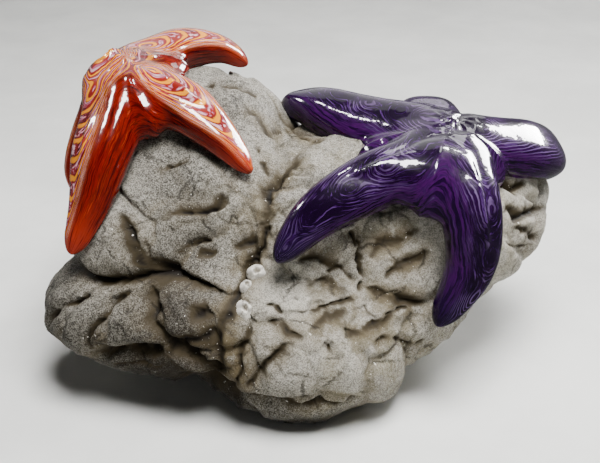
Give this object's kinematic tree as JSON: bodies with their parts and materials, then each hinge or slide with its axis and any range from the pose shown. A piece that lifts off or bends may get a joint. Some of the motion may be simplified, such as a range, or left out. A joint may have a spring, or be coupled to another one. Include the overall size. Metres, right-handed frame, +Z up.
{
  "type": "glass sea star sculpture on a boulder",
  "caption": "Table sculpture of glass sea stars draped over a natural boulder, standing on the boulder's flat foot.",
  "frame": {"origin": "on the floor, under the middle of the whole sculpture's bounding box", "axes": "+X to the right as seen from the front, along the boulder's length; +Y towards the back; +Z up"},
  "size_m": [0.3687, 0.2251, 0.2226],
  "materials": {
    "stone": "rough, fine-grained grey natural stone with brown grooves",
    "violet_glass": "glossy dark violet glass with combed lavender bands",
    "amber_glass": "glossy red and orange glass with combed yellow and cream bands"
  },
  "bodies": {
    "root": {"boulder": "stone", "violet_star_disc": "violet_glass", "violet_star_arm_left_back": "violet_glass", "violet_star_arm_left_front": "violet_glass", "violet_star_arm_front": "violet_glass", "violet_star_arm_right": "violet_glass", "violet_star_arm_back": "violet_glass", "amber_star": "amber_glass"}
  },
  "joints": []
}
